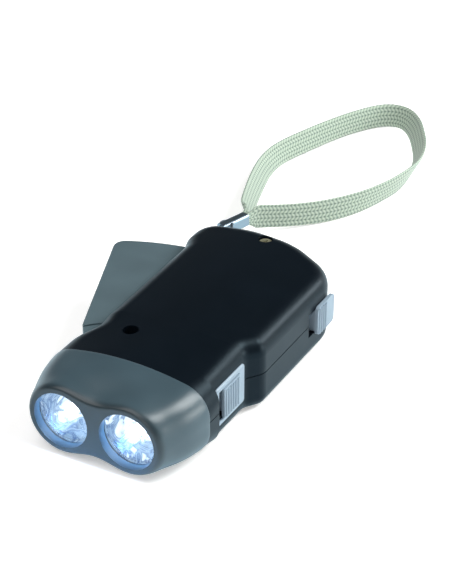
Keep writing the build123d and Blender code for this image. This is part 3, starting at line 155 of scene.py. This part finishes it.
def ramp(nodes, links, source, stops):
    """Colour ramp driven by a value; stops are (position, colour)."""
    node = nodes.new("ShaderNodeValToRGB")
    links.new(source, node.inputs["Fac"])
    elements = node.color_ramp.elements
    while len(elements) < len(stops):
        elements.new(0.5)
    for element, (position, color) in zip(elements, stops):
        element.position = position
        element.color = (*color, 1)
    return node.outputs["Color"]


def bump(nodes, links, shader, source, strength, distance):
    """Bump from a height value."""
    node = nodes.new("ShaderNodeBump")
    node.inputs["Strength"].default_value = strength
    node.inputs["Distance"].default_value = distance
    links.new(source, node.inputs["Height"])
    links.new(node.outputs["Normal"], shader.inputs["Normal"])


def vary_rough(nodes, links, shader, scale, low, high):
    """Roughness that wanders between two values."""
    wander = noise(nodes, links, scale, 4)
    links.new(remap(nodes, links, wander, end=(low, high)), shader.inputs["Roughness"])


SHEEN_SCALE, TONE_SCALE, TONE_SPREAD = 120, 60, 0.1
GRAIN_DEPTH = 0.04 * MM
METAL_SCALE = 400


def moulded(name, color, low, high, grain=9000, strength=0.12, **extra):
    """Moulded plastic: fine spark-eroded grain, slightly uneven sheen and tone."""
    mat, nodes, links, shader = material(name, color, low, **extra)
    vary_rough(nodes, links, shader, SHEEN_SCALE, low, high)
    darker = tuple(c * (1 - TONE_SPREAD) for c in color)
    lighter = tuple(min(1, c * (1 + TONE_SPREAD)) for c in color)
    tone = noise(nodes, links, TONE_SCALE, 2)
    links.new(ramp(nodes, links, tone, [(0.3, darker), (0.7, lighter)]),
              shader.inputs["Base Color"])
    bump(nodes, links, shader, noise(nodes, links, grain, 2), strength, GRAIN_DEPTH)
    return mat


def metal(name, color, rough):
    """Bare metal with a slightly uneven sheen."""
    mat, nodes, links, shader = material(name, color, rough, 1.0)
    vary_rough(nodes, links, shader, METAL_SCALE, rough * 0.8, rough * 1.25)
    return mat


FACE_SHADE_FADE, FACE_SHADE_TONE = (0.3, 2.4), 0.45     # stations of the painted shade's fade in mm, its tone at the front


def paint_front_shade(mat):
    """Painted shade: deeper tone on the flat front face round the lamps and at the mouths of
    their bores.
    """
    nodes, links = mat.node_tree.nodes, mat.node_tree.links
    shader = nodes["Principled BSDF"]
    tone = shader.inputs["Base Color"].links[0].from_socket
    station = separate(nodes, links, place(nodes))["Y"]
    # painted shade: base colour scaled down towards the front face
    fade = remap(nodes, links, station, [(FRONT_Y + d) * MM for d in FACE_SHADE_FADE],
                 (FACE_SHADE_TONE, 1.0), "SMOOTHSTEP")
    scaled = nodes.new("ShaderNodeVectorMath")
    scaled.operation = "SCALE"
    links.new(tone, scaled.inputs[0])
    links.new(fade, scaled.inputs["Scale"])
    links.new(scaled.outputs[0], shader.inputs["Base Color"])


def dress(mat, *names):
    """Gives CAD nodes a material in every slot."""
    for name in names:
        node = NODES[name]
        if not node.material_slots:
            node.data.materials.append(mat)
        for slot in node.material_slots:
            slot.material = mat


CREASE = math.radians(38)


def smooth(obj):
    """Smooth shading with creases kept sharp."""
    for poly in obj.data.polygons:
        poly.use_smooth = True
    obj.modifiers.new("normals", "EDGE_SPLIT").split_angle = CREASE


# ---------------------------------------------------------------- strap, in millimetres
STRAP_W, STRAP_T = 9.0, 1.3
CRIMP_Z, STRAP_Z = 7.5, 4.5                 # heights of its middle in the crimp and beyond
STRAP_PATH = [(-22.0, 147.5), (-15.2, 154.5), (-7.3, 163.5), (0.0, 174.0), (4.8, 186.0),
              (8.0, 200.0), (7.6, 212.0), (4.6, 224.5), (-0.4, 234.5), (-6.5, 245.0),
              (-14.0, 252.0), (-22.0, 250.5), (-29.0, 240.0), (-34.5, 227.0), (-39.0, 213.0),
              (-43.0, 199.0), (-42.8, 187.0), (-39.5, 174.0), (-35.0, 160.0), (-30.0, 147.0)]
DROP_OUT, DROP_BACK = (0.35, 0.75), (0.85, 0.4)     # share of the drop at the path's ends
CRIMP_END, CRIMP_DIR = (-26.5, 140.5), math.radians(73.0)
STRAP_IN, STRAP_LEAD, CRIMP_GAP = 6.0, 3.0, 0.05    # in the crimp, straight out of it, apart
STRAP_PINCH, PINCH_LEAD, PINCH_RUN = 4.6, 0.3, 5.0
LEANS = [(0.0, 0.0), (0.14, 0.0), (0.27, 14.0), (0.35, 30.0), (0.45, 28.0), (0.60, 10.0),
         (0.72, 14.0), (0.84, 27.0), (0.94, 24.0), (1.0, 0.0)]
SIDES, EDGE_ROUND, FACE_ROUND = 20, 0.55, 0.7       # section: sides and powers of its oval
LINE_STEPS, LINE_ORDER = 10, 3


def smoothstep(t):
    return t * t * (3 - 2 * t)


def crimp_point(along, side):
    """Point in the crimp's plan, along it from its rear end and to its right."""
    c, s = math.cos(CRIMP_DIR), math.sin(CRIMP_DIR)
    return CRIMP_END[0] + along * c + side * s, CRIMP_END[1] + along * s - side * c


def strap_route():
    """Control points from the crimp, round the loop and back into it."""
    side = STRAP_T / 2 + CRIMP_GAP
    drops = [*DROP_OUT, *[1.0] * (len(STRAP_PATH) - 4), *DROP_BACK]
    loop = [v(x, d, CRIMP_Z + (STRAP_Z - CRIMP_Z) * drop)
            for (x, d), drop in zip(STRAP_PATH, drops)]
    out = [v(*crimp_point(along, side), CRIMP_Z) for along in (-STRAP_IN, STRAP_LEAD)]
    back = [v(*crimp_point(along, -side), CRIMP_Z) for along in (STRAP_LEAD, -STRAP_IN)]
    return out + loop + back


def nurbs_line(name, points):
    """Points along a smooth spline with these control points."""
    curve = bpy.data.curves.new(name, "CURVE")
    curve.dimensions = "3D"
    curve.resolution_u = LINE_STEPS
    spline = curve.splines.new("NURBS")
    spline.points.add(len(points) - 1)
    for point, spot in zip(spline.points, points):
        point.co = (*spot, 1)
    spline.order_u = LINE_ORDER
    spline.use_endpoint_u = True
    obj = bpy.data.objects.new(name, curve)
    scene.collection.objects.link(obj)
    mesh = bpy.data.meshes.new_from_object(obj)
    line = [vertex.co.copy() for vertex in mesh.vertices]
    bpy.data.objects.remove(obj)
    return line


def width_share(run, total):
    """Share of the full width: the ends are gathered in the crimp and open beyond it."""
    beyond = min(run, total - run) - (STRAP_IN + PINCH_LEAD) * MM
    ease = smoothstep(min(1.0, max(0.0, beyond / (PINCH_RUN * MM))))
    return (STRAP_PINCH + (STRAP_W - STRAP_PINCH) * ease) / STRAP_W


def lean_at(share):
    """Outward lean of the band, degrees, along its length."""
    for (s0, a0), (s1, a1) in zip(LEANS, LEANS[1:]):
        if share <= s1:
            return a0 + (a1 - a0) * smoothstep((share - s0) / (s1 - s0))
    return LEANS[-1][1]


def strap_profile():
    """Points round the flat oval section, as (across, through) in metres."""
    profile = []
    for i in range(SIDES):
        angle = 2 * math.pi * i / SIDES
        c, s = math.cos(angle), math.sin(angle)
        profile.append((STRAP_W / 2 * MM * math.copysign(abs(c) ** EDGE_ROUND, c),
                        STRAP_T / 2 * MM * math.copysign(abs(s) ** FACE_ROUND, s)))
    return profile


def strap_ring(bm, line, run, i, profile):
    """The section's vertices at one point of the line."""
    ahead = line[min(i + 1, len(line) - 1)] - line[max(i - 1, 0)]
    side = ahead.cross(Vector((0, 0, 1))).normalized()
    up = side.cross(ahead).normalized()
    lean = math.radians(lean_at(run[i] / run[-1]))
    up_leant = up * math.cos(lean) + side * math.sin(lean)
    side_leant = side * math.cos(lean) - up * math.sin(lean)
    width = width_share(run[i], run[-1])
    return [bm.verts.new(line[i] + up_leant * a * width + side_leant * t) for a, t in profile]


def make_strap():
    """Woven tube strap, pressed flat, on edge, with UVs along it in millimetres."""
    line = nurbs_line("route", strap_route())
    profile = strap_profile()
    run, girth = [0.0], [0.0]
    for a, b in zip(line, line[1:]):
        run.append(run[-1] + (b - a).length)
    for (a0, t0), (a1, t1) in zip(profile, profile[1:] + profile[:1]):
        girth.append(girth[-1] + math.hypot(a1 - a0, t1 - t0))
    bm = bmesh.new()
    rings = [strap_ring(bm, line, run, i, profile) for i in range(len(line))]
    uv = bm.loops.layers.uv.new("weave")
    for i in range(len(rings) - 1):
        for j in range(SIDES):
            k = (j + 1) % SIDES
            face = bm.faces.new((rings[i][j], rings[i][k], rings[i + 1][k], rings[i + 1][j]))
            face.smooth = True
            corners = ((i, j), (i, j + 1), (i + 1, j + 1), (i + 1, j))
            for loop, (p, q) in zip(face.loops, corners):
                loop[uv].uv = (run[p] / MM, girth[q] / MM)
    bm.faces.new(list(reversed(rings[0])))
    bm.faces.new(rings[-1])
    bmesh.ops.recalc_face_normals(bm, faces=bm.faces)
    mesh = bpy.data.meshes.new("woven_strap")
    bm.to_mesh(mesh)
    bm.free()
    obj = bpy.data.objects.new("woven_strap", mesh)
    scene.collection.objects.link(obj)
    obj.data.materials.append(braid())
    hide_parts("wrist_strap")
    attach(obj, "body")


STITCH_PITCH, ROW_PITCH, STRAND_SLANT = 1.5, 1.5, 1.4
STRAND_SHARE, ROW_SHARE = 0.28, 0.72
WEAVE_SHARE, FIBRE_SHARE, FIBRE_SCALE = 0.85, 0.15, 2600
BRAID_RELIEF, BRAID_DEPTH, BRAID_SHEEN = 0.6, 0.22 * MM, 0.25
BRAID_SHADED_TONES = [(0.10, (0.10, 0.145, 0.115)), (0.36, (0.25, 0.32, 0.26)),
               (0.64, (0.37, 0.45, 0.365)), (0.95, (0.51, 0.58, 0.465))]


def braid():
    """Flat tubular braid: rows of slanted strands with valleys between, pale green; the valleys
    get painted shade.
    """
    mat, nodes, links, shader = material("strap_braid", (0.55, 0.63, 0.52), 0.75,
                                         Sheen_Weight=BRAID_SHEEN)

    def do(kind, *values):
        return calc(nodes, links, kind, *values)

    uv = nodes.new("ShaderNodeUVMap")
    uv.uv_map = "weave"
    plane = separate(nodes, links, uv.outputs["UV"])
    along = do("MULTIPLY", plane["X"], 2 * math.pi / STITCH_PITCH)
    rows = do("MULTIPLY", plane["Y"], math.pi / ROW_PITCH)
    zigzag = do("ARCSINE", do("SINE", rows))
    strands = do("SINE", do("ADD", along, do("MULTIPLY", zigzag, STRAND_SLANT)))
    valley = do("POWER", do("ABSOLUTE", do("COSINE", rows)), 0.5)
    weave = do("ADD", do("MULTIPLY", strands, STRAND_SHARE), do("MULTIPLY", valley, ROW_SHARE))
    fibres = noise(nodes, links, FIBRE_SCALE, 2)
    level = do("ADD", do("MULTIPLY", weave, WEAVE_SHARE), do("MULTIPLY", fibres, FIBRE_SHARE))
    # weave pattern with painted shade: the tone ramp darkens the valleys, from the heights that
    # also drive the bump
    links.new(ramp(nodes, links, level, BRAID_SHADED_TONES), shader.inputs["Base Color"])
    bump(nodes, links, shader, level, BRAID_RELIEF, BRAID_DEPTH)
    return mat


make_strap()

# ---------------------------------------------------------------- materials of the CAD nodes
case = moulded("case_black", (0.0022, 0.0044, 0.0074), 0.32, 0.40, strength=0.10,
               Specular_IOR_Level=0.18, Specular_Tint=(0.56, 0.80, 0.95, 1))
head = moulded("head_grey", (0.046, 0.076, 0.093), 0.29, 0.35, strength=0.08,
               Specular_IOR_Level=0.50)
# painted shade on the head's front face
paint_front_shade(head)
lever = moulded("lever_grey", (0.080, 0.118, 0.134), 0.42, 0.55, strength=0.15,
                Specular_IOR_Level=0.3)
slider = moulded("slider_blue_grey", (0.265, 0.34, 0.41), 0.38, 0.50)
board = moulded("board_green", (0.02, 0.14, 0.06), 0.3, 0.4)
gear = moulded("gear_white", (0.75, 0.75, 0.70), 0.35, 0.45)
dark_plastic = moulded("dark_plastic", (0.02, 0.02, 0.022), 0.4, 0.5)
steel = metal("steel", (0.60, 0.61, 0.62), 0.28)
crimp_steel = metal("crimp_steel", (0.26, 0.32, 0.37), 0.36)
screw_pale = moulded("screw_pale", (0.34, 0.33, 0.22), 0.28, 0.36, grain=1500, strength=0.2,
                     Metallic=0.5)
winding = metal("winding", (0.75, 0.33, 0.15), 0.35)

dress(case, "upper_housing", "lower_housing")
dress(head, "lamp_head", "lamp_carrier")
dress(lever, "squeeze_lever")
dress(slider, "light_switch_slider", "lock_slider", "switch_frame")
dress(board, "led_board", "main_board")
dress(gear, "first_pinion", "first_wheel", "clutch_pawls", "second_gear", "rotor_pinion",
      "coil_bobbin")
dress(dark_plastic, "battery_holder", "switch_actuator", "smoothing_capacitor",
      "rectifier_diode_a", "rectifier_diode_b", "rectifier_diode_c", "rectifier_diode_d",
      "ring_magnet")
dress(steel, "lever_pin", "lever_spring", "first_axle", "second_axle", "rotor_shaft",
      "gear_plate", "plate_screw_front", "plate_screw_side", "plate_screw_rear",
      "strap_anchor_pin", "cell_contact_front", "cell_contact_rear", "flywheel", "stator_core",
      "button_cell_front", "button_cell_middle", "button_cell_rear", "housing_screw_front",
      "slide_switch_body")
dress(crimp_steel, "strap_link", "strap_ferrule")
dress(screw_pale, "housing_screw_rear", "rotor_bearing")
dress(winding, "coil_winding")
for node in NODES.values():
    smooth(node)

# ---------------------------------------------------------------- lamps of the torch
DIODE_POWER = 4.0
PATCH_SCALE, PATCH_TWIST, PATCH_SHIFT, PATCH_RELIEF = 130, 1.2, 4.2 * MM, 0.4
BOWL_REACH, BOWL_DEPTH, BOWL_PAINTED_GLOW = 10.0 * MM, 1.0 * MM, 0.9
# painted reflection: glow colours of the reflector from its axis outwards
PAINTED_GLOW_TONES = [(0.46, (1.0, 1.0, 1.0)), (0.60, (0.80, 0.92, 1.0)), (0.68, (0.08, 0.13, 0.24)),
        (0.80, (0.36, 0.46, 0.54)), (0.88, (0.05, 0.10, 0.22)), (1.0, (0.26, 0.36, 0.46))]


def glass():
    """Clear lens."""
    return material("lens_clear", (0.93, 0.97, 1.0), 0.03, Transmission_Weight=1.0, IOR=1.45)[0]


def reflector(name, x):
    """Bright dimpled reflector with a painted reflection as glow: white in the middle, blue
    facets, a pale blue rim.
    """
    mat, nodes, links, shader = material(name, (0.26, 0.32, 0.40), 0.14, 1.0,
                                         Emission_Strength=BOWL_PAINTED_GLOW)
    centre = (x * MM, 0.0, AXIS_Z * MM)
    shifted = vector_calc(nodes, links, "SUBTRACT", place(nodes), centre)[0]
    flat = vector_calc(nodes, links, "MULTIPLY", shifted, (1.0, 0.0, 1.0))[0]
    reach = vector_calc(nodes, links, "LENGTH", flat)["Value"]
    patches = noise(nodes, links, PATCH_SCALE, 2, PATCH_TWIST)
    jitter = remap(nodes, links, patches, (0.3, 0.7), (-PATCH_SHIFT, PATCH_SHIFT))
    share = remap(nodes, links, calc(nodes, links, "ADD", reach, jitter), (0.0, BOWL_REACH))
    # painted reflection as emission, broken up by the dimples
    links.new(ramp(nodes, links, share, PAINTED_GLOW_TONES), shader.inputs["Emission Color"])
    bump(nodes, links, shader, patches, PATCH_RELIEF, BOWL_DEPTH)
    return mat


def diode():
    """Lit diode."""
    return material("diode_lit", (0.9, 0.95, 1.0), 0.2, Emission_Color=(0.92, 0.96, 1.0, 1),
                    Emission_Strength=DIODE_POWER)[0]


dress(glass(), "lens_left", "lens_right")
dress(reflector("reflector_left", LAMPS_X[0]), "reflector_left")
dress(reflector("reflector_right", LAMPS_X[1]), "reflector_right")
dress(diode(), "led_left", "led_right")

# ---------------------------------------------------------------- floor and light
FLOOR_SIZE, FLOOR_Z = 3.0, -0.2 * MM
FLOOR_LIFT, FLOOR_FADE = 0.34, (0.35, 1.40)         # glow near the part, and where it rises to 1
# The floor's glow seen in glossy rays is tinted blue: a painted reflection that cools the case's
# walls and other glossy parts.
FLOOR_TINT, PAINTED_REFLECTION_TINT = (1.0, 0.985, 0.97, 1), (0.05, 0.80, 1.20, 1)
MIX_FACTOR, MIX_A, MIX_B, MIX_RESULT = 0, 6, 7, 2   # sockets of a mix node for colours
SKY = [(0.08, (1.0, 1.0, 1.0)), (0.20, (0.05, 0.06, 0.07)), (0.75, (0.06, 0.07, 0.08)),
       (1.0, (0.25, 0.25, 0.25))]
SPILL_POWER, SPILL_COLOR, SPILL_SIZE, SPILL_STATION = 0.018, (0.30, 0.55, 1.0), 2.0 * MM, 1.3


def floor():
    """Pale floor that glows to white for the rays that show it, and keeps the shadow; in
    reflections its glow is a painted blue.
    """
    bm = bmesh.new()
    bmesh.ops.create_grid(bm, x_segments=1, y_segments=1, size=FLOOR_SIZE)
    mesh = bpy.data.meshes.new("floor")
    bm.to_mesh(mesh)
    bm.free()
    obj = bpy.data.objects.new("floor", mesh)
    obj.location = (0, 0, FLOOR_Z)
    scene.collection.objects.link(obj)
    mat, nodes, links, shader = material("floor_white", (0.95, 0.94, 0.93), 0.9,
                                         Specular_IOR_Level=0.0)
    rays = nodes.new("ShaderNodeLightPath").outputs
    seen = rays["Is Camera Ray"]
    for kind in ("Is Glossy Ray", "Is Transmission Ray"):
        seen = calc(nodes, links, "MAXIMUM", seen, rays[kind])
    reach = vector_calc(nodes, links, "LENGTH", place(nodes))["Value"]
    level = remap(nodes, links, reach, FLOOR_FADE, (FLOOR_LIFT, 1.0), "SMOOTHSTEP")
    tint = nodes.new("ShaderNodeMix")
    tint.data_type = "RGBA"
    tint.inputs[MIX_A].default_value = FLOOR_TINT
    tint.inputs[MIX_B].default_value = PAINTED_REFLECTION_TINT
    # painted reflection: glossy rays see the blue tint
    links.new(rays["Is Glossy Ray"], tint.inputs[MIX_FACTOR])
    links.new(tint.outputs[MIX_RESULT], shader.inputs["Emission Color"])
    links.new(calc(nodes, links, "MULTIPLY", seen, level), shader.inputs["Emission Strength"])
    obj.data.materials.append(mat)


def world():
    """White near the horizon, a dark studio above."""
    env = bpy.data.worlds.new("studio")
    env.use_nodes = True
    scene.world = env
    nodes, links = env.node_tree.nodes, env.node_tree.links
    back = nodes["Background"]
    height = separate(nodes, links, place(nodes, "Generated"))["Z"]
    links.new(ramp(nodes, links, height, SKY), back.inputs["Color"])
    back.inputs["Strength"].default_value = 1.0


def lamp(name, spot, target, size, power, color=(1, 1, 1)):
    """Rectangular soft lamp aimed at a point, in metres and watts."""
    data = bpy.data.lights.new(name, "AREA")
    data.shape = "RECTANGLE"
    data.size, data.size_y = size
    data.energy = power
    data.color = color
    obj = bpy.data.objects.new(name, data)
    obj.location = spot
    aim = Vector(target) - Vector(spot)
    obj.rotation_euler = aim.to_track_quat("-Z", "Y").to_euler()
    scene.collection.objects.link(obj)


def glow_lamp(name, x):
    """Blue spill of the lit diode on the wall of its bore."""
    data = bpy.data.lights.new(name, "POINT")
    data.energy = SPILL_POWER
    data.color = SPILL_COLOR
    data.shadow_soft_size = SPILL_SIZE
    obj = bpy.data.objects.new(name, data)
    obj.location = v(x, SPILL_STATION, AXIS_Z)
    scene.collection.objects.link(obj)


floor()
world()
lamp("key", (-0.20, -0.35, 1.00), (0, 0, 0), (1.1, 1.1), 8.0)
lamp("flank", (0.49, 0.40, 0.64), (0, -0.02, 0.01), (0.38, 0.38), 6.0, (0.97, 1.0, 0.99))
lamp("rim", (0.50, 0.80, 0.38), (0, 0, 0.01), (0.35, 0.22), 3.0, (0.94, 0.98, 1.0))
lamp("side", (0.90, 0.42, 0.20), (0, -0.04, 0.01), (0.36, 0.30), 3.0, (0.96, 1.0, 0.98))
lamp("front", (0.30, -0.90, 0.50), (0, 0, 0), (0.6, 0.4), 1.8)
glow_lamp("glow_left", LAMPS_X[0])
glow_lamp("glow_right", LAMPS_X[1])
